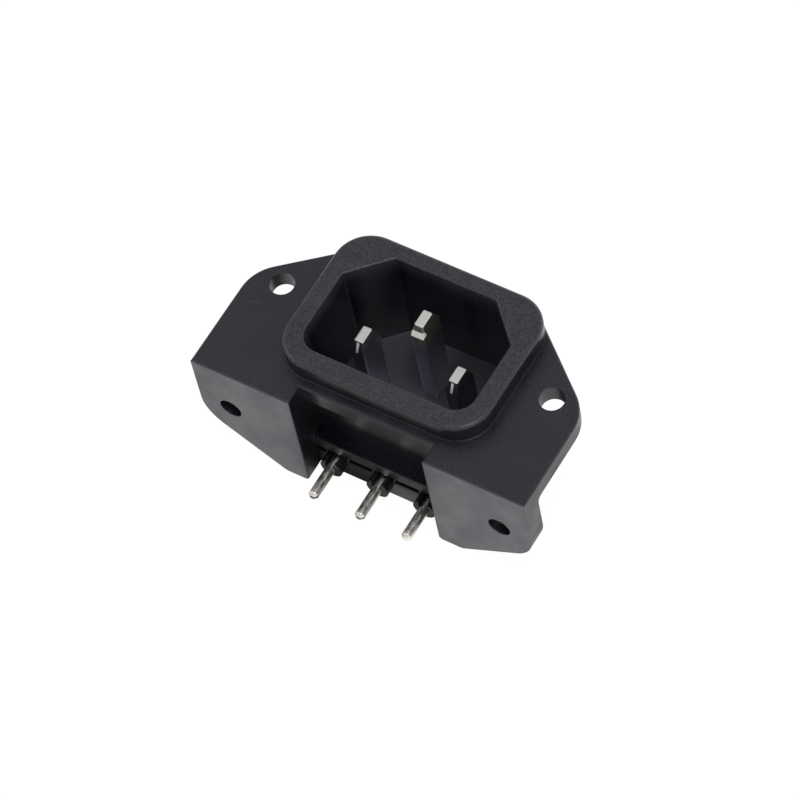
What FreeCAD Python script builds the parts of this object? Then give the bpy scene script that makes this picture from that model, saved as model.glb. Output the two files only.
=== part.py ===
import FreeCAD, Part
import math
import os

# Panel inlet for a three-blade appliance coupler, bent down for a circuit board.
# Frame, in millimetres: +X across the flange, +Y away from the board, +Z out of the
# panel towards the plug. The origin is on the mating axis, in the flange's front
# face, midway between the panel screws. "Depth" is measured from that face into the
# equipment, so it runs along -Z. "Height" is measured from the board, along +Y.

# ---- Panel and board fixing
screw_pitch = 40.0            # panel screws, and board screws, across the part
panel_hole_d = 3.4
board_hole_d = 3.2
board_hole_depth = 8.4
axis_height = 15.2            # mating axis above the board

# ---- Flange
ear_past_screw = 4.6          # from a panel screw to the flange's end
flange_t = 2.7
ear_r = 6.0
ear_centre_height = 12.5      # where the ear's round corner meets the straight side
flange_edge = 0.2             # bevel round the front

# ---- Shroud round the plug
recess_width = 24.8
recess_height = 16.6
recess_chamfer = 5.0          # the two keyed corners, away from the board
recess_key_r = 0.4
recess_low_r = 2.7            # the two corners near the board
recess_draft = 0.12           # how much the recess narrows to its floor, each side
rim_proud = 2.8
rim_side = 2.65
rim_above = 2.4
rim_below = 2.85
rim_corner_r = 5.0
rim_front_r = 0.6
rim_mouth_r = 0.3
tube_wall = 2.0
floor_depth = 14.0
floor_t = 1.2

# ---- Feet, arch under the body, and the block behind it
foot_gap = 19.7               # between the feet
foot_t = 3.0
foot_side_depth = 8.7         # where the foot's outer corner starts to turn in
foot_outer_r = 5.6
foot_back_inside = 1.6        # the foot's back corner, in from the body's side
foot_back_r = 1.6
foot_root_r = 0.8
opening_bevel = 0.4           # round the rear opening, and so down the feet
window_height = 2.7           # the flange is cut away below this, between the feet
ledge_height = 2.8
block_t = 2.2                 # in front of the groove that the tails come down in
block_lip_r = 0.9
groove_top_height = 4.9

# ---- Contacts
blade_pitch = 14.0
blade_w = 2.0
blade_h = 4.0
blade_edge_r = 0.2
blade_side_bevel = 0.37       # how far the tip draws in across its width
blade_edge_bevel = 0.8        # and across its height
blade_bevel_length = 1.7
line_above_axis = -1.55
earth_above_axis = 2.45
line_tip_depth = 1.1
earth_tip_depth = -1.7
tail_d = 1.4
tail_turn_r = 0.9             # at the tail's centre line; the wire is set in two kinks
tail_below_board = 3.3
tail_point_length = 0.4
tail_point_d = 0.7

# ---- Rear cover, which is pushed on from behind, over the tails
cover_clear = 0.08
cover_top_height = 21.4
cover_corner_r = 1.5
cover_behind_tail = 1.95
cover_above_ledge = 0.25
cover_lip_r = 1.0
catch_proud = 0.35            # snap catch on each side of the cover
catch_t = 1.0
catch_length = 4.0
catch_below_top = 5.0
barrel_r = 1.6
barrel_below_ledge = 1.3
barrel_above_ledge = 1.7
tail_clear = 0.05
blade_clear = 0.02

# ---- Worked out from the sizes above
board_y = -axis_height
flange_half = screw_pitch / 2 + ear_past_screw
recess_half_w = recess_width / 2
recess_half_h = recess_height / 2
tube_half_w = recess_half_w + tube_wall
rim_half_w = recess_half_w + rim_side
rim_top = recess_half_h + rim_above
rim_bottom = -recess_half_h - rim_below
foot_inner = foot_gap / 2
ledge_y = board_y + ledge_height
cover_low = ledge_y + cover_above_ledge
cover_high = board_y + cover_top_height
catch_high = cover_high - catch_below_top
floor_back = floor_depth + floor_t
tail_depth = floor_back + tail_turn_r
body_depth = tail_depth + tail_d / 2 + tail_clear + cover_behind_tail
block_front_depth = floor_depth - block_t
foot_back_x = tube_half_w - foot_back_inside
cut_past = 5.0                # how far a cut runs past the face it opens


def vec(x, y, z=0.0):
    return FreeCAD.Vector(x, y, z)


def wrap(circles, grow=0.0):
    """Closed wire pulled tight round circles (x, y, r), given anticlockwise."""
    edges = []
    tangents = []
    count = len(circles)
    for i in range(count):
        x1, y1, r1 = circles[i]
        x2, y2, r2 = circles[(i + 1) % count]
        along = math.atan2(y2 - y1, x2 - x1)
        span = math.hypot(x2 - x1, y2 - y1)
        normal = along - math.acos((r1 - r2) / span)
        start = vec(x1 + (r1 + grow) * math.cos(normal), y1 + (r1 + grow) * math.sin(normal))
        end = vec(x2 + (r2 + grow) * math.cos(normal), y2 + (r2 + grow) * math.sin(normal))
        tangents.append((start, end, normal))
    for i in range(count):
        x, y, r = circles[i]
        arc_start, before = tangents[i - 1][1:]
        line_start, line_end, after = tangents[i]
        radius = r + grow
        if radius > 0:
            half_turn = ((after - before) % (2 * math.pi)) / 2
            middle = before + half_turn
            crown = vec(x + radius * math.cos(middle), y + radius * math.sin(middle))
            edges.append(Part.Arc(arc_start, crown, line_start).toShape())
        edges.append(Part.makeLine(line_start, line_end))
    return Part.Wire(edges)


def mirrored(circles):
    """The circles of the +X half, bottom to top, with their mirror images."""
    return circles + [(-x, y, r) for x, y, r in reversed(circles)]


def slab(wire, low_z, high_z):
    """Wire filled and raised from low_z to high_z."""
    shape = Part.Face(wire).extrude(vec(0, 0, high_z - low_z))
    shape.translate(vec(0, 0, low_z))
    return shape


def block(x1, x2, y1, y2, z1, z2):
    return Part.makeBox(x2 - x1, y2 - y1, z2 - z1, vec(x1, y1, z1))


def rod(x, depth, radius, y1, y2):
    """Round bar along Y."""
    return Part.makeCylinder(radius, y2 - y1, vec(x, y1, -depth), vec(0, 1, 0))


def edges_where(shape, test):
    """Edges whose every point, sampled at both ends and the middle, passes the test."""
    found = []
    for edge in shape.Edges:
        first, last = edge.ParameterRange
        points = [edge.valueAt(p) for p in (first, (first + last) / 2, last)]
        if all(test(p) for p in points):
            found.append(edge)
    return found


def near(a, b):
    return abs(a - b) < 0.01


# ---- Outlines

def flange_outline():
    return wrap(mirrored([
        (flange_half, board_y, 0.0),
        (flange_half - ear_r, board_y + ear_centre_height, ear_r),
        (rim_half_w - rim_corner_r, rim_top - rim_corner_r, rim_corner_r),
    ]))


def rim_outline():
    return wrap(mirrored([
        (rim_half_w - rim_corner_r, rim_bottom + rim_corner_r, rim_corner_r),
        (rim_half_w - rim_corner_r, rim_top - rim_corner_r, rim_corner_r),
    ]))


def recess_outline(grow=0.0):
    key_setback = recess_chamfer + recess_key_r * math.tan(math.pi / 8)
    return wrap(mirrored([
        (recess_half_w - recess_low_r, -recess_half_h + recess_low_r, recess_low_r),
        (recess_half_w - recess_key_r, recess_half_h - key_setback, recess_key_r),
        (recess_half_w - key_setback, recess_half_h - recess_key_r, recess_key_r),
    ]), grow)


def stand_up(plan, low_y, high_y):
    """Raises a wire drawn in plan, with its depth along Y, from low_y to high_y."""
    shape = slab(plan, 0.0, high_y - low_y)
    shape.rotate(vec(0, 0, 0), vec(1, 0, 0), -90)
    shape.translate(vec(0, low_y, 0))
    return shape


def body_envelope():
    """The body's sides and its round back corners, in line with the feet's."""
    plan = wrap(mirrored([
        (tube_half_w, flange_t / 2, 0.0),
        (foot_back_x, body_depth - foot_back_r, foot_back_r),
    ]))
    return stand_up(plan, board_y, recess_half_h + tube_wall)


def foot_plate():
    """The right foot, round at its outer and back corners."""
    plan = wrap([
        (foot_inner, flange_t / 2, 0.0),
        (flange_half, flange_t / 2, 0.0),
        (flange_half - foot_outer_r, foot_side_depth, foot_outer_r),
        (foot_back_x, body_depth - foot_back_r, foot_back_r),
        (foot_inner, body_depth, 0.0),
    ])
    return stand_up(plan, board_y, board_y + foot_t)


def cover_outline():
    half = foot_inner - cover_clear
    return wrap(mirrored([
        (half, cover_low, 0.0),
        (half - cover_corner_r, cover_high - cover_corner_r, cover_corner_r),
    ]))


def blade_outline(grow=0.0, inset_x=0.0, inset_y=0.0):
    x = blade_w / 2 - blade_edge_r - inset_x
    y = blade_h / 2 - blade_edge_r - inset_y
    return wrap(mirrored([(x, -y, blade_edge_r), (x, y, blade_edge_r)]), grow)


def each_contact():
    """Name, X place, height over the axis and tip depth of the three contacts."""
    half = blade_pitch / 2
    return [
        ("contact_line", -half, line_above_axis, line_tip_depth),
        ("contact_earth", 0.0, earth_above_axis, earth_tip_depth),
        ("contact_neutral", half, line_above_axis, line_tip_depth),
    ]


# ---- Pieces

def make_catches(grow=0.0):
    """Bar through the cover whose two ends are its catches."""
    reach = foot_inner + catch_proud - cover_clear + grow
    middle = (floor_back + body_depth) / 2
    half = catch_t / 2 + grow
    return block(-reach, reach, catch_high - catch_length - grow, catch_high + grow,
                 -middle - half, -middle + half)


def make_cover_pocket():
    """Room for the rear cover in the housing, with a pocket for each side's catch."""
    half = foot_inner
    top = cover_high + cover_clear
    pocket = slab(wrap(mirrored([
        (half, board_y - cut_past, 0.0),
        (half - cover_corner_r, top - cover_corner_r, cover_corner_r),
    ])), -body_depth - cut_past, -floor_back)
    return pocket.fuse(make_catches(cover_clear))


def make_flange():
    """Front plate with its ears, cut away near the board between the feet."""
    plate = slab(flange_outline(), -flange_t, 0.0)
    window = block(-foot_inner, foot_inner, board_y - cut_past, board_y + window_height,
                   -flange_t - cut_past, cut_past)
    plate = plate.cut(window)
    return plate.makeChamfer(flange_edge, edges_where(plate, lambda p: near(p.z, 0.0)))


def make_rear_block():
    """Bridge between the feet, under the recess floor, with a rounded front lip."""
    bridge = block(-foot_inner, foot_inner, ledge_y, -recess_half_h,
                   -body_depth, -block_front_depth)
    lip = edges_where(bridge, lambda p: near(p.y, ledge_y) and near(p.z, -block_front_depth))
    return bridge.makeFillet(block_lip_r, lip)


def make_housing():
    rim = slab(rim_outline(), -flange_t, rim_proud)
    rim = rim.makeFillet(rim_front_r, edges_where(rim, lambda p: near(p.z, rim_proud)))
    core = slab(recess_outline(tube_wall), -body_depth, -flange_t / 2)
    for side in (1, -1):
        near_x, far_x = sorted((side * foot_inner, side * tube_half_w))
        core = core.fuse(block(near_x, far_x, board_y, 0.0, -body_depth, -flange_t / 2))
    core = core.common(body_envelope())
    pieces = [rim, core, make_rear_block()]
    for side in (1, -1):
        plate = foot_plate()
        if side < 0:
            plate = plate.mirror(vec(0, 0, 0), vec(1, 0, 0))
        pieces.append(plate)
    body = make_flange().multiFuse(pieces).removeSplitter()

    def foot_root(p):
        beside = abs(p.x) > tube_half_w - 0.01
        return beside and near(p.y, board_y + foot_t) and near(-p.z, flange_t)

    body = body.makeFillet(foot_root_r, edges_where(body, foot_root))

    mouth = recess_outline()
    mouth.translate(vec(0, 0, rim_proud))
    bottom = recess_outline(-recess_draft)
    bottom.translate(vec(0, 0, -floor_depth))
    body = body.cut(Part.makeLoft([bottom, mouth], True, True))

    def at_mouth(p):
        inside = abs(p.x) < recess_half_w + 0.01 and abs(p.y) < recess_half_h + 0.01
        return near(p.z, rim_proud) and inside

    body = body.makeFillet(rim_mouth_r, edges_where(body, at_mouth))
    body = body.cut(make_cover_pocket())

    def rear_opening(p):
        inside = abs(p.x) < foot_inner + 0.01 and p.y < cover_high + cover_clear + 0.01
        return near(-p.z, body_depth) and inside

    body = body.makeChamfer(opening_bevel, edges_where(body, rear_opening))

    cuts = []
    groove_top = board_y + groove_top_height
    cuts.append(block(-foot_inner, foot_inner, board_y - cut_past, groove_top,
                      -floor_back - cut_past, -floor_depth))
    for name, x, y, tip in each_contact():
        slot = slab(blade_outline(blade_clear), -floor_back - 1, -floor_depth + 1)
        slot.translate(vec(x, y, 0))
        cuts.append(slot)
    for x in (-screw_pitch / 2, screw_pitch / 2):
        cuts.append(Part.makeCylinder(panel_hole_d / 2, flange_t + 2, vec(x, 0, -flange_t - 1)))
        cuts.append(rod(x, board_hole_depth, board_hole_d / 2, board_y - 1, board_y + foot_t + 1))
    return body.cut(cuts)


def make_cover():
    """Back wall that closes the tail space, with a barrel behind and beside each tail."""
    front = floor_back + cover_clear
    cover = slab(cover_outline(), -body_depth, -front)
    lip = edges_where(cover, lambda p: near(p.y, cover_low) and near(p.z, -front))
    cover = cover.makeFillet(cover_lip_r, lip)
    cover = cover.fuse(make_catches())
    barrel_top = ledge_y + barrel_above_ledge
    for name, x, y, tip in each_contact():
        cover = cover.fuse(rod(x, tail_depth, barrel_r, ledge_y - barrel_below_ledge, barrel_top))
    bore = tail_d / 2 + tail_clear
    for name, x, y, tip in each_contact():
        channel_top = y + bore
        hole = rod(x, tail_depth, bore, board_y, channel_top)
        way_in = block(x - bore, x + bore, board_y, channel_top, -tail_depth, -front + barrel_r)
        cover = cover.cut([hole, way_in])
    return cover.removeSplitter()


def make_contact(x, y, tip_depth):
    """Flat blade with a bevelled tip; its tail turns down behind the recess floor."""
    bevel_from = blade_outline()
    bevel_from.translate(vec(0, 0, -tip_depth - blade_bevel_length))
    bevel_to = blade_outline(0.0, blade_side_bevel, blade_edge_bevel)
    bevel_to.translate(vec(0, 0, -tip_depth))
    blade = slab(blade_outline(), -floor_back, -tip_depth - blade_bevel_length)
    blade = blade.fuse(Part.makeLoft([bevel_from, bevel_to], True, True))
    radius = tail_d / 2
    low = board_y - tail_below_board
    setback = tail_turn_r * math.tan(math.pi / 8)
    path = Part.makePolygon([
        vec(0, 0, -floor_back),
        vec(0, 0, -floor_back - setback),
        vec(0, setback - tail_turn_r, -tail_depth),
        vec(0, low + tail_point_length - y, -tail_depth),
    ])
    section = Part.Wire(Part.makeCircle(radius, vec(0, 0, -floor_back), vec(0, 0, 1)))
    square_corners = 1
    tail = path.makePipeShell([section], True, False, square_corners)
    point = Part.makeCone(tail_point_d / 2, radius, tail_point_length,
                          vec(0, low - y, -tail_depth), vec(0, 1, 0))
    contact = blade.multiFuse([tail, point]).removeSplitter()
    contact.translate(vec(x, y, 0))
    return contact


def save(shape, name):
    solids = shape.Solids
    volume = sum(s.Volume for s in solids)
    print(name, "solids", len(solids), "valid", shape.isValid(), "volume", round(volume, 2))
    solids[0].exportStep("parts/" + name + ".step")


os.makedirs("parts", exist_ok=True)
save(make_housing(), "housing")
save(make_cover(), "rear_cover")
for contact_name, contact_x, contact_y, contact_tip in each_contact():
    save(make_contact(contact_x, contact_y, contact_tip), contact_name)
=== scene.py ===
import bpy
import math
from mathutils import Matrix, Vector


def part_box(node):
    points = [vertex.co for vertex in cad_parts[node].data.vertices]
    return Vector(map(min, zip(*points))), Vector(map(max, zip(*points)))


# Looks of the panel inlet: black moulding with a spark-grained outside and a polished
# recess, its rear cover, and nickel-plated contacts. Metres, in the CAD frame: +Z out of
# the panel, +Y away from the board, origin in the flange's front face.

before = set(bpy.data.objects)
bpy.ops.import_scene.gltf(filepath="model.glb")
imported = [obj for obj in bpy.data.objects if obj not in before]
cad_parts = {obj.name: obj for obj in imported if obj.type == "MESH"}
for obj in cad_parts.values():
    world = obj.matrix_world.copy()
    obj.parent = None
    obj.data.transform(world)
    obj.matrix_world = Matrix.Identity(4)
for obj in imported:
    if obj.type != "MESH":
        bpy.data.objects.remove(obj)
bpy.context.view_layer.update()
bpy.context.scene.view_settings.view_transform = "Standard"

MM = 0.001
housing_low, housing_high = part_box("housing")
FLOOR_Z = housing_low[2]
BOARD_Y = housing_low[1]
RIM_Z = housing_high[2]

# Places on the part.
RECESS_HALF_X = 12.45 * MM
RECESS_HALF_Y = 8.35 * MM
RECESS_KEY = 16.6 * MM          # |x| + y along the two keyed corners
RECESS_LOW_Z = -14.1 * MM
RECESS_HIGH_Z = RIM_Z - 0.25 * MM
FEET_HALF_GAP = 9.8 * MM
ARCH_NORMAL_HALF_X = 10.0 * MM  # reaches a little into the feet, so that no bevel shows at the corner
BLOCK_LIP = (-11.8 * MM, BOARD_Y + 2.8 * MM)
COVER_LIP = (-15.28 * MM, BOARD_Y + 3.05 * MM)

# Linear colours.
RIM_DARK, RIM_RUBBED = (0.008, 0.008, 0.010, 1.0), (0.046, 0.046, 0.048, 1.0)
EDGE_WEAR_AND_HIGHLIGHT, MARK_TINT = (0.05, 0.052, 0.06, 1.0), (0.05, 0.05, 0.055, 1.0)
WALL_DARK, WALL_HAZE = (0.003, 0.003, 0.006, 1.0), (0.010, 0.010, 0.017, 1.0)
MOUTH_PAINTED_LIGHT = (0.03, 0.03, 0.034, 1.0)
FLOOR_DARK, FLOOR_PAINTED_REFLECTION = (0.006, 0.007, 0.010, 1.0), (0.040, 0.041, 0.058, 1.0)
FOOT_LIT_DARK, FOOT_LIT_LIGHT = (0.040, 0.034, 0.046, 1.0), (0.056, 0.049, 0.060, 1.0)
BLADE_BRIGHT, BLADE_DULL = (0.95, 0.905, 0.78, 1.0), (0.89, 0.845, 0.72, 1.0)
BLADE_SHADED = (0.66, 0.67, 0.73, 1.0)
TAIL_BRIGHT, TAIL_DULL = (0.98, 0.93, 0.83, 1.0), (0.87, 0.82, 0.72, 1.0)
ROOM_WALL, ROOM_OVERHEAD = (0.97, 0.98, 1.0, 1.0), (0.49, 0.515, 0.58, 1.0)
ROOM_LEFT, ROOM_FRONT = (0.5, 0.51, 0.54, 1.0), (0.7, 0.71, 0.74, 1.0)
WHITE = (1.0, 1.0, 1.0, 1.0)

# Floor: how much of it glows, and how brightly, to the camera and to glossy rays.
SEEN_SHARE, SEEN_GLOW = 0.86, 1.1
GLOSSY_SHARE, GLOSSY_GLOW = 0.98, 1.02

# Name, place, aim, side and watts of each lamp.
LAMPS = (("left_softbox", (-0.45, -0.1, 0.42), (0.0, 0.0, 0.0), 0.4, 0.35),
         ("tail_softbox", (0.21, -0.07, 0.55), (0.0, -0.016, -0.016), 0.16, 0.75))

CAMERA_AZIMUTH, CAMERA_ELEVATION, CAMERA_ROLL = 41.87, 56.86, -13.42
CAMERA_DISTANCE = 549.3 * MM
CAMERA_AIM = (2.78, -8.54, 0.0)  # in mm
CAMERA_LENS, CAMERA_SENSOR = 196.64, 36.0


# ---- Node helpers

class Nodes:
    """A node tree with short calls to add and join nodes."""

    def __init__(self, tree):
        self.tree = tree

    def add(self, kind, **settings):
        node = self.tree.nodes.new(kind)
        for name, value in settings.items():
            setattr(node, name, value)
        return node

    def join(self, source, target):
        self.tree.links.new(source, target)

    def feed(self, value, socket):
        """Joins an output to a socket, or sets the socket to a plain value."""
        if isinstance(value, bpy.types.NodeSocket):
            self.join(value, socket)
        else:
            socket.default_value = value

    def math(self, operation, a, b=0.0):
        node = self.add("ShaderNodeMath", operation=operation)
        self.feed(a, node.inputs[0])
        self.feed(b, node.inputs[1])
        return node.outputs[0]

    def ramp(self, value, low, high, start=0.0, end=1.0):
        """Smooth step of value from low to high, put out from start to end."""
        node = self.add("ShaderNodeMapRange", interpolation_type="SMOOTHSTEP")
        self.feed(value, node.inputs["Value"])
        for name, number in (("From Min", low), ("From Max", high), ("To Min", start), ("To Max", end)):
            self.feed(number, node.inputs[name])
        return node.outputs["Result"]

    def mix_colour(self, factor, a, b):
        node = self.add("ShaderNodeMix", data_type="RGBA")
        self.feed(factor, node.inputs[0])
        self.feed(a, node.inputs[6])
        self.feed(b, node.inputs[7])
        return node.outputs[2]

    def mix_value(self, factor, a, b):
        node = self.add("ShaderNodeMix", data_type="FLOAT")
        self.feed(factor, node.inputs[0])
        self.feed(a, node.inputs[2])
        self.feed(b, node.inputs[3])
        return node.outputs[0]

    def mix_vector(self, factor, a, b):
        node = self.add("ShaderNodeMix", data_type="VECTOR")
        self.feed(factor, node.inputs[0])
        self.feed(a, node.inputs[4])
        self.feed(b, node.inputs[5])
        return node.outputs[1]

    def noise(self, place, scale, detail=2.0, roughness=0.5):
        node = self.add("ShaderNodeTexNoise")
        self.feed(place, node.inputs["Vector"])
        node.inputs["Scale"].default_value = scale
        node.inputs["Detail"].default_value = detail
        node.inputs["Roughness"].default_value = roughness
        return node.outputs["Fac"]


def new_group(name, inputs, outputs):
    """An empty shader group; inputs and outputs are (name, socket kind, default)."""
    tree = bpy.data.node_groups.new(name, "ShaderNodeTree")
    for direction, sockets in (("INPUT", inputs), ("OUTPUT", outputs)):
        for label, kind, default in sockets:
            socket = tree.interface.new_socket(label, in_out=direction, socket_type=kind)
            if default is not None:
                socket.default_value = default
    nodes = Nodes(tree)
    return nodes, nodes.add("NodeGroupInput").outputs, nodes.add("NodeGroupOutput").inputs


def use_group(nodes, tree, **values):
    node = nodes.add("ShaderNodeGroup", node_tree=tree)
    for name, value in values.items():
        nodes.feed(value, node.inputs[name])
    return node.outputs


FLOAT = "NodeSocketFloat"
VECTOR = "NodeSocketVector"


# ---- Effects that more than one material uses

def make_soft_edges():
    """Moulded edges: a normal rounded over them, and a mask that is 1 on the edge."""
    nodes, given, out = new_group("soft_edges", [("Radius", FLOAT, 0.0002)],
                                  [("Normal", VECTOR, None), ("Edge", FLOAT, None)])
    rounded = nodes.add("ShaderNodeBevel", samples=8)
    nodes.join(given["Radius"], rounded.inputs["Radius"])
    flat = nodes.add("ShaderNodeNewGeometry")
    dot = nodes.add("ShaderNodeVectorMath", operation="DOT_PRODUCT")
    nodes.join(rounded.outputs[0], dot.inputs[0])
    nodes.join(flat.outputs["Normal"], dot.inputs[1])
    nodes.join(rounded.outputs[0], out["Normal"])
    nodes.join(nodes.ramp(dot.outputs["Value"], 0.995, 0.86), out["Edge"])
    return nodes.tree


def make_moulded_grain():
    """Height of a spark-eroded mould's fine grain, with wider and shallower waves."""
    nodes, given, out = new_group("moulded_grain", [("Place", VECTOR, None), ("Pitch", FLOAT, 0.00016)],
                                  [("Height", FLOAT, None), ("Mottle", FLOAT, None)])
    per_metre = nodes.math("DIVIDE", 1.0, given["Pitch"])
    spread = nodes.add("ShaderNodeVectorMath", operation="SCALE")
    nodes.join(given["Place"], spread.inputs[0])
    nodes.join(per_metre, spread.inputs["Scale"])
    fine = nodes.noise(spread.outputs[0], 1.0, 2.0, 0.6)
    coarse = nodes.noise(spread.outputs[0], 0.31, 1.0, 0.5)
    mottle = nodes.noise(given["Place"], 190.0, 3.0, 0.6)
    nodes.join(nodes.math("ADD", nodes.math("MULTIPLY", fine, 0.7), nodes.math("MULTIPLY", coarse, 0.3)),
               out["Height"])
    nodes.join(mottle, out["Mottle"])
    return nodes.tree


def make_handling_marks():
    """Small pale specks of dust and faint short scuffs, more of them where it was handled."""
    nodes, given, out = new_group("handling_marks", [("Place", VECTOR, None), ("Amount", FLOAT, 0.5)],
                                  [("Marks", FLOAT, None)])
    specks = nodes.ramp(nodes.noise(given["Place"], 2600.0, 1.0, 0.4), 0.73, 0.8)
    turned = nodes.add("ShaderNodeMapping")
    turned.inputs["Rotation"].default_value = (0.2, 0.3, 0.65)
    turned.inputs["Scale"].default_value = (260.0, 2600.0, 900.0)
    nodes.join(given["Place"], turned.inputs["Vector"])
    scuffs = nodes.ramp(nodes.noise(turned.outputs[0], 1.0, 2.0, 0.5), 0.66, 0.8)
    patches = nodes.ramp(nodes.noise(given["Place"], 110.0, 2.0, 0.5), 0.45, 0.65)
    scuffs = nodes.math("MULTIPLY", scuffs, patches)
    both = nodes.math("MAXIMUM", nodes.math("MULTIPLY", specks, 0.6), scuffs)
    nodes.join(nodes.math("MULTIPLY", both, given["Amount"]), out["Marks"])
    return nodes.tree


soft_edges = make_soft_edges()
moulded_grain = make_moulded_grain()
handling_marks = make_handling_marks()


def recess_mask(nodes, place):
    """1 inside the recess, with its two keyed corners cut off, 0 outside it."""
    blur = 0.12 * MM
    split = nodes.add("ShaderNodeSeparateXYZ")
    nodes.join(place, split.inputs[0])
    across = nodes.ramp(nodes.math("ABSOLUTE", split.outputs[0]), RECESS_HALF_X + blur, RECESS_HALF_X)
    along = nodes.ramp(nodes.math("ABSOLUTE", split.outputs[1]), RECESS_HALF_Y + blur, RECESS_HALF_Y)
    below = nodes.ramp(split.outputs[2], RECESS_HIGH_Z + blur, RECESS_HIGH_Z)
    above = nodes.ramp(split.outputs[2], RECESS_LOW_Z - blur, RECESS_LOW_Z)
    reach = nodes.math("ADD", nodes.math("ABSOLUTE", split.outputs[0]), split.outputs[1])
    across = nodes.math("MULTIPLY", across, nodes.ramp(reach, RECESS_KEY + blur, RECESS_KEY))
    return nodes.math("MULTIPLY", nodes.math("MULTIPLY", across, along), nodes.math("MULTIPLY", below, above))


def new_material(name):
    material = bpy.data.materials.new(name)
    material.use_nodes = True
    nodes = Nodes(material.node_tree)
    for node in list(material.node_tree.nodes):
        material.node_tree.nodes.remove(node)
    shader = nodes.add("ShaderNodeBsdfPrincipled")
    output = nodes.add("ShaderNodeOutputMaterial")
    nodes.join(shader.outputs[0], output.inputs["Surface"])
    place = nodes.add("ShaderNodeTexCoord").outputs["Object"]
    return material, nodes, shader, place


# ---- Materials

def crisp_lip(nodes, split, normal, top_z, under_y, barrels):
    """Normal that turns at once from a lip's front to its underside, and keeps off the barrels."""
    step = nodes.ramp(split.outputs[2], top_z - 0.6 * MM, top_z - 0.45 * MM)
    turned = nodes.mix_vector(step, (0.0, -1.0, 0.0), (0.0, 0.0, 1.0))
    across = nodes.math("ABSOLUTE", split.outputs[0])
    where = nodes.ramp(across, FEET_HALF_GAP + 0.04 * MM, FEET_HALF_GAP)
    if barrels:
        apart = nodes.math("ABSOLUTE", nodes.math("SUBTRACT", across, 3.5 * MM))
        between = nodes.ramp(apart, 1.8 * MM, 1.7 * MM)
        outside = nodes.ramp(apart, 5.2 * MM, 5.3 * MM)
        where = nodes.math("MULTIPLY", where, nodes.math("MAXIMUM", between, outside))
    for value, outer, inner in ((split.outputs[2], top_z - 1.1 * MM, top_z - 1.0 * MM),
                                (split.outputs[2], top_z + 0.05 * MM, top_z + 0.01 * MM),
                                (split.outputs[1], under_y + 1.0 * MM, under_y + 0.9 * MM),
                                (split.outputs[1], under_y - 0.1 * MM, under_y - 0.05 * MM)):
        where = nodes.math("MULTIPLY", where, nodes.ramp(value, outer, inner))
    return nodes.mix_vector(where, normal, turned)


def arch_mask(nodes, split, half_x):
    """1 on the smooth arch under the body, between the feet."""
    where = nodes.ramp(nodes.math("ABSOLUTE", split.outputs[0]), half_x + 0.04 * MM, half_x)
    for value, outer, inner in ((split.outputs[1], BOARD_Y + 2.5 * MM, BOARD_Y + 2.6 * MM),
                                (split.outputs[1], -9.9 * MM, -10.1 * MM),
                                (split.outputs[2], -0.1 * MM, -0.25 * MM),
                                (split.outputs[2], -12.1 * MM, -12.0 * MM)):
        where = nodes.math("MULTIPLY", where, nodes.ramp(value, outer, inner))
    return where


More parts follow.
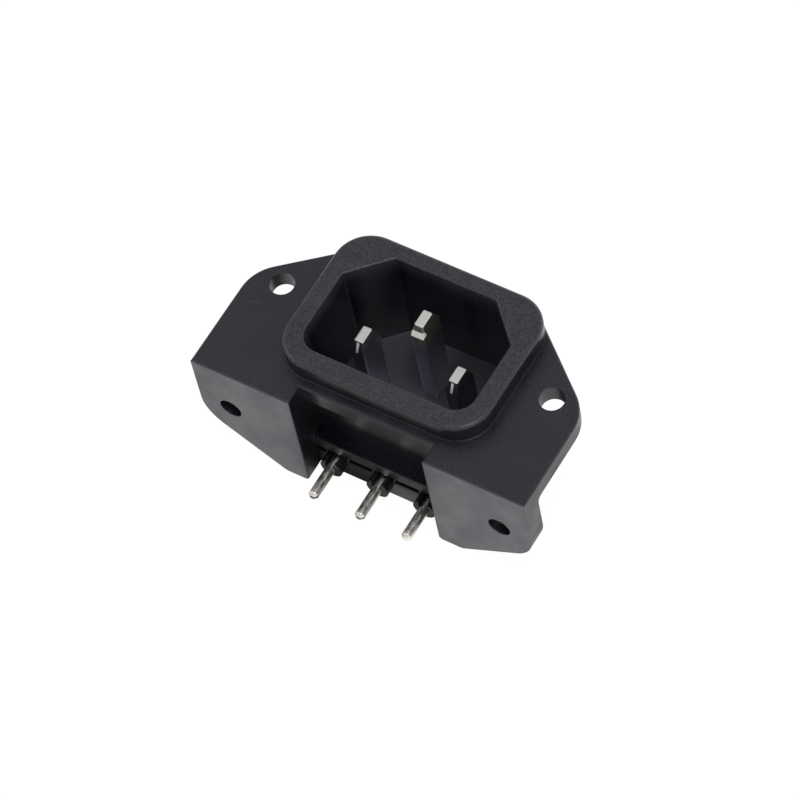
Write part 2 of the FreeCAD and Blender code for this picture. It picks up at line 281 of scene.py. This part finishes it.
def make_moulding(name, dark, light, grain_depth, is_housing, lip):
    """Black thermoplastic; the recess comes off a polished core and has no grain, and its walls and floor
    carry painted light and a painted reflection.
    """
    material, nodes, shader, place = new_material(name)
    edges = use_group(nodes, soft_edges, Radius=0.16 * MM)
    grain = use_group(nodes, moulded_grain, Place=place, Pitch=0.17 * MM)
    if is_housing:
        in_recess = recess_mask(nodes, place)
    else:
        in_recess = 0.0
    speckle = nodes.ramp(nodes.noise(place, 3100.0, 2.0, 0.6), 0.3, 0.72)
    cloud = nodes.ramp(nodes.noise(place, 85.0, 3.0, 0.6), 0.35, 0.65)
    warm = (light[0] * 1.9, light[1] * 1.2, light[2] * 1.5, 1.0)
    body = nodes.mix_colour(speckle, (*dark, 1.0), nodes.mix_colour(cloud, (*light, 1.0), warm))
    height = nodes.add("ShaderNodeSeparateXYZ")
    nodes.join(place, height.inputs[0])
    rubbed = nodes.ramp(height.outputs[2], RIM_Z - 0.7 * MM, RIM_Z - 0.1 * MM, 0.0, 0.7)
    worn = nodes.mix_colour(speckle, RIM_DARK, RIM_RUBBED)
    body = nodes.mix_colour(rubbed, body, worn)
    arch = arch_mask(nodes, height, FEET_HALF_GAP) if is_housing else 0.0
    flat = arch_mask(nodes, height, ARCH_NORMAL_HALF_X) if is_housing else 0.0
    # Edges are tinted lighter, partly edge wear and partly a painted highlight; the arch gets none.
    edge = nodes.math("MULTIPLY", edges["Edge"], nodes.math("SUBTRACT", 1.0, flat))
    body = nodes.mix_colour(nodes.math("MULTIPLY", edge, 0.1), body, EDGE_WEAR_AND_HIGHLIGHT)
    marks = use_group(nodes, handling_marks, Place=place, Amount=0.5)
    body = nodes.mix_colour(marks["Marks"], body, MARK_TINT)
    floor = nodes.ramp(height.outputs[2], -13.7 * MM, -13.95 * MM)
    # Painted light: the recess walls grow lighter towards the mouth and stay dark deep down.
    mouth = nodes.ramp(height.outputs[2], RIM_Z - 3.2 * MM, RIM_Z - 0.2 * MM)
    haze = nodes.ramp(nodes.noise(place, 130.0, 2.0, 0.5), 0.42, 0.68)
    inside = nodes.mix_colour(haze, WALL_DARK, WALL_HAZE)
    inside = nodes.mix_colour(mouth, inside, MOUTH_PAINTED_LIGHT)
    # Painted reflection: the recess floor is lighter and bluish on its -x side.
    far_side = nodes.ramp(height.outputs[0], 1.5 * MM, -2.0 * MM)
    base = nodes.mix_colour(far_side, FLOOR_DARK, FLOOR_PAINTED_REFLECTION)
    inside = nodes.mix_colour(floor, inside, base)
    body = nodes.mix_colour(in_recess, body, inside)
    if is_housing:
        # Painted light: the feet's board-side faces get a far lighter colour than the rest of the moulding.
        feet = nodes.ramp(height.outputs[1], BOARD_Y + 0.2 * MM, BOARD_Y + 0.05 * MM)
        body = nodes.mix_colour(feet, body, nodes.mix_colour(cloud, FOOT_LIT_DARK, FOOT_LIT_LIGHT))
    nodes.join(body, shader.inputs["Base Color"])
    rough = nodes.ramp(grain["Mottle"], 0.3, 0.7, 0.31, 0.46)
    rough = nodes.mix_value(edge, rough, 0.3)
    rough = nodes.mix_value(arch, rough, 0.23)
    smooth = nodes.math("MAXIMUM", in_recess, arch)
    rough = nodes.mix_value(in_recess, rough, nodes.mix_value(floor, 0.24, 0.42))
    nodes.join(rough, shader.inputs["Roughness"])
    bump = nodes.add("ShaderNodeBump")
    bump.inputs["Distance"].default_value = grain_depth
    nodes.join(nodes.mix_value(smooth, grain["Height"], 0.5), bump.inputs["Height"])
    true_normal = nodes.add("ShaderNodeNewGeometry").outputs["Normal"]
    normal = nodes.mix_vector(flat, edges["Normal"], true_normal)
    nodes.join(crisp_lip(nodes, height, normal, *lip, not is_housing), bump.inputs["Normal"])
    nodes.join(bump.outputs[0], shader.inputs["Normal"])
    shader.inputs["IOR"].default_value = 1.61
    if is_housing:
        nodes.join(nodes.math("MULTIPLY", floor, in_recess), shader.inputs["Coat Weight"])
        shader.inputs["Coat Roughness"].default_value = 0.35
        shader.inputs["Coat IOR"].default_value = 1.5
    return material


# Middle x, half width, top y, lowest and highest z in mm, and the normal, of each worn face.
WORN_TIPS = ((0.0, 0.95, 1.25, -0.05, 0.85, (0.0, -0.72, 0.69)),
             (-7.02, 0.2, -2.5, -2.75, -1.3, (0.0, -0.59, 0.81)),
             (6.98, 0.2, -2.5, -2.75, -1.3, (0.0, -0.59, 0.81)))


def worn_tips(nodes, split, normal):
    """Normal of the blades' lower lead-in faces, rounded off where plugs have rubbed them."""
    for middle_x, half_x, top_y, low_z, high_z, turned in WORN_TIPS:
        across = nodes.math("ABSOLUTE", nodes.math("SUBTRACT", split.outputs[0], middle_x * MM))
        where = nodes.ramp(across, (half_x + 0.06) * MM, (half_x - 0.06) * MM)
        for value, outer, inner in ((split.outputs[1], top_y, top_y - 0.05),
                                    (split.outputs[2], low_z - 0.05, low_z + 0.05),
                                    (split.outputs[2], high_z + 0.08, high_z - 0.08)):
            where = nodes.math("MULTIPLY", where, nodes.ramp(value, outer * MM, inner * MM))
        normal = nodes.mix_vector(where, normal, turned)
    return normal


def make_contact_metal():
    """Nickel plate on copper alloy: drawn along the blade, uneven and tinned on the tail."""
    material, nodes, shader, place = new_material("nickel_plate")
    edges = use_group(nodes, soft_edges, Radius=0.25 * MM)
    split = nodes.add("ShaderNodeSeparateXYZ")
    nodes.join(place, split.inputs[0])
    tail = nodes.ramp(split.outputs[2], -15.0 * MM, -15.4 * MM)
    stretch = nodes.add("ShaderNodeMapping")
    stretch.inputs["Scale"].default_value = (9000.0, 9000.0, 500.0)
    nodes.join(place, stretch.inputs["Vector"])
    drawn = nodes.noise(stretch.outputs[0], 1.0, 3.0, 0.6)
    down = nodes.add("ShaderNodeMapping")
    down.inputs["Scale"].default_value = (2600.0, 750.0, 2600.0)
    nodes.join(place, down.inputs["Vector"])
    lumps = nodes.noise(down.outputs[0], 1.0, 1.5, 0.5)
    cloud = nodes.ramp(nodes.noise(place, 900.0, 3.0, 0.6), 0.35, 0.7)
    bright = nodes.mix_colour(cloud, BLADE_BRIGHT, BLADE_DULL)
    tinned = nodes.mix_colour(cloud, TAIL_BRIGHT, TAIL_DULL)
    lower = nodes.ramp(split.outputs[2], -0.6 * MM, -3.0 * MM)
    bright = nodes.mix_colour(lower, bright, BLADE_SHADED)
    nodes.join(nodes.mix_colour(tail, bright, tinned), shader.inputs["Base Color"])
    shader.inputs["Metallic"].default_value = 1.0
    blade_rough = nodes.ramp(drawn, 0.3, 0.7, 0.3, 0.35)
    tail_rough = nodes.ramp(lumps, 0.3, 0.7, 0.25, 0.42)
    nodes.join(nodes.mix_value(tail, blade_rough, tail_rough), shader.inputs["Roughness"])
    bump = nodes.add("ShaderNodeBump")
    bump.inputs["Distance"].default_value = 0.07 * MM
    nodes.join(nodes.mix_value(tail, nodes.math("MULTIPLY", drawn, 0.015), lumps), bump.inputs["Height"])
    nodes.join(worn_tips(nodes, split, edges["Normal"]), bump.inputs["Normal"])
    nodes.join(bump.outputs[0], shader.inputs["Normal"])
    return material


def dress(name, material):
    """Gives every slot of a CAD node the material."""
    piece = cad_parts[name]
    if not piece.material_slots:
        piece.data.materials.append(material)
    for slot in piece.material_slots:
        slot.material = material
    piece.data.polygons.foreach_set("use_smooth", [True] * len(piece.data.polygons))


housing_plastic = make_moulding("housing_plastic", (0.001, 0.001, 0.002), (0.009, 0.009, 0.012),
                                0.006 * MM, True, BLOCK_LIP)
cover_plastic = make_moulding("cover_plastic", (0.002, 0.002, 0.003), (0.010, 0.010, 0.013),
                              0.005 * MM, False, COVER_LIP)
nickel_plate = make_contact_metal()

# ---- Light, floor and camera

def make_world():
    """White room, bright round the horizon and dimmer overhead; seen directly it is white."""
    world = bpy.data.worlds.new("white_room")
    bpy.context.scene.world = world
    world.use_nodes = True
    nodes = Nodes(world.node_tree)
    for node in list(world.node_tree.nodes):
        world.node_tree.nodes.remove(node)
    direction = nodes.add("ShaderNodeTexCoord").outputs["Generated"]
    split = nodes.add("ShaderNodeSeparateXYZ")
    nodes.join(direction, split.inputs[0])
    overhead = nodes.ramp(split.outputs[2], 0.15, 0.75)
    walls = nodes.mix_colour(nodes.ramp(split.outputs[0], -0.9, -0.35), ROOM_LEFT, ROOM_WALL)
    walls = nodes.mix_colour(nodes.ramp(split.outputs[1], -0.6, -0.9), walls, ROOM_FRONT)
    colour = nodes.mix_colour(overhead, walls, ROOM_OVERHEAD)
    path = nodes.add("ShaderNodeLightPath")
    room = nodes.add("ShaderNodeBackground")
    nodes.join(colour, room.inputs["Color"])
    room.inputs["Strength"].default_value = 1.0
    seen = nodes.add("ShaderNodeBackground")
    seen.inputs["Color"].default_value = WHITE
    seen.inputs["Strength"].default_value = 1.0
    mix = nodes.add("ShaderNodeMixShader")
    nodes.join(path.outputs["Is Camera Ray"], mix.inputs[0])
    nodes.join(room.outputs[0], mix.inputs[1])
    nodes.join(seen.outputs[0], mix.inputs[2])
    output = nodes.add("ShaderNodeOutputWorld")
    nodes.join(mix.outputs[0], output.inputs["Surface"])


# Patches of painted shadow in the floor's glow, where the body shades the floor: lowest and highest x, lowest
# and highest y in mm, and the light left there. A later one goes over an earlier one.
PAINTED_FLOOR_SHADOW = ((-9.2, 8.7, -25.5, -22.3, 0.4),
              (-9.8, 8.7, -22.3, -16.2, 0.07),
              (-9.8, 8.7, -16.2, -13.6, 0.3),
              (-9.8, -2.9, -15.6, -13.6, 0.1),
              (-2.5, 8.7, -13.6, -11.0, 0.55),
              (-13.5, -2.5, -13.6, -9.0, 0.06))


def shaded_patch(nodes, split, low_x, high_x, low_y, high_y, blur):
    """1 where the body shades the floor between the feet; the shade slants with the light."""
    slant = nodes.math("MULTIPLY", nodes.math("SUBTRACT", split.outputs[1], BOARD_Y), 0.9)
    place = nodes.math("SUBTRACT", split.outputs[0], slant)
    across = nodes.math("ABSOLUTE", nodes.math("SUBTRACT", place, (low_x + high_x) / 2))
    along = nodes.math("ABSOLUTE", nodes.math("SUBTRACT", split.outputs[1], (low_y + high_y) / 2))
    half_x = (high_x - low_x) / 2
    half_y = (high_y - low_y) / 2
    return nodes.math("MULTIPLY", nodes.ramp(across, half_x + blur, half_x - blur),
                      nodes.ramp(along, half_y + blur, half_y - blur))


def make_floor():
    """Pale sheet under the part; it looks white and keeps the part's shadow."""
    bpy.ops.object.select_all(action="DESELECT")
    bpy.ops.mesh.primitive_plane_add(size=3.0, location=(0.0, 0.0, FLOOR_Z - 0.02 * MM))
    sheet = bpy.context.object
    sheet.name = "pale_sheet"
    bpy.ops.object.transform_apply(location=True, rotation=True, scale=True)
    material, nodes, shader, place = new_material("pale_sheet")
    shader.inputs["Base Color"].default_value = (0.86, 0.86, 0.86, 1.0)
    shader.inputs["Roughness"].default_value = 0.8
    glow = nodes.add("ShaderNodeEmission")
    glow.inputs["Color"].default_value = WHITE
    path = nodes.add("ShaderNodeLightPath")
    mix = nodes.add("ShaderNodeMixShader")
    split = nodes.add("ShaderNodeSeparateXYZ")
    nodes.join(place, split.inputs[0])
    # The glow that glossy rays see carries painted shadow: 0.7 near the body, the patches over it, and half
    # as bright far off towards -y.
    beside = nodes.ramp(nodes.math("ABSOLUTE", split.outputs[0]), 10.0 * MM, 26.0 * MM)
    from_middle = nodes.math("ABSOLUTE", nodes.math("ADD", split.outputs[1], 3.0 * MM))
    before = nodes.ramp(from_middle, 9.0 * MM, 15.0 * MM)
    clear = nodes.mix_value(nodes.math("MAXIMUM", beside, before), 0.7, 1.0)
    for low_x, high_x, low_y, high_y, light in PAINTED_FLOOR_SHADOW:
        shade = shaded_patch(nodes, split, low_x * MM, high_x * MM, low_y * MM, high_y * MM, 0.8 * MM)
        clear = nodes.mix_value(shade, clear, light)
    far = nodes.ramp(split.outputs[1], -30.0 * MM, -42.0 * MM)
    clear = nodes.mix_value(far, clear, 0.5)
    seen = nodes.math("MULTIPLY", path.outputs["Is Camera Ray"], SEEN_SHARE)
    shine = nodes.math("MULTIPLY", path.outputs["Is Glossy Ray"], GLOSSY_SHARE)
    nodes.join(nodes.math("MAXIMUM", seen, shine), mix.inputs[0])
    glossy_glow = nodes.math("MULTIPLY", clear, GLOSSY_GLOW)
    strength = nodes.mix_value(path.outputs["Is Glossy Ray"], SEEN_GLOW, glossy_glow)
    nodes.join(strength, glow.inputs["Strength"])
    nodes.join(shader.outputs[0], mix.inputs[1])
    nodes.join(glow.outputs[0], mix.inputs[2])
    output = [n for n in material.node_tree.nodes if n.type == "OUTPUT_MATERIAL"][0]
    nodes.join(mix.outputs[0], output.inputs["Surface"])
    sheet.data.materials.append(material)


def make_lamp(name, place, aim, size, watts):
    light = bpy.data.lights.new(name, "AREA")
    light.size = size
    light.energy = watts
    lamp = bpy.data.objects.new(name, light)
    bpy.context.scene.collection.objects.link(lamp)
    lamp.location = place
    lamp.rotation_euler = (Vector(aim) - Vector(place)).to_track_quat("-Z", "Y").to_euler()


def make_camera():
    """Seen from 42 degrees round from the board side and 57 degrees up, rolled a little."""
    azimuth = math.radians(CAMERA_AZIMUTH)
    elevation = math.radians(CAMERA_ELEVATION)
    roll = math.radians(CAMERA_ROLL)
    aim = Vector(CAMERA_AIM) * MM
    back = Vector((math.sin(azimuth) * math.cos(elevation), -math.cos(azimuth) * math.cos(elevation),
                   math.sin(elevation)))
    level = Vector((math.cos(azimuth), math.sin(azimuth), 0.0))
    up = back.cross(level)
    right = level * math.cos(roll) + up * math.sin(roll)
    up = back.cross(right)
    camera = bpy.data.objects.new("camera", bpy.data.cameras.new("camera"))
    bpy.context.scene.collection.objects.link(camera)
    turn = Matrix((right, up, back)).transposed()
    camera.matrix_world = Matrix.Translation(aim + back * CAMERA_DISTANCE) @ turn.to_4x4()
    camera.data.lens = CAMERA_LENS
    camera.data.sensor_width = CAMERA_SENSOR
    camera.data.clip_start = 0.01
    camera.data.clip_end = 20.0
    bpy.context.scene.camera = camera


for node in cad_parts:
    if node == "housing":
        dress(node, housing_plastic)
    elif node == "rear_cover":
        dress(node, cover_plastic)
    else:
        dress(node, nickel_plate)

make_world()
make_floor()
for lamp_facts in LAMPS:
    make_lamp(*lamp_facts)
make_camera()
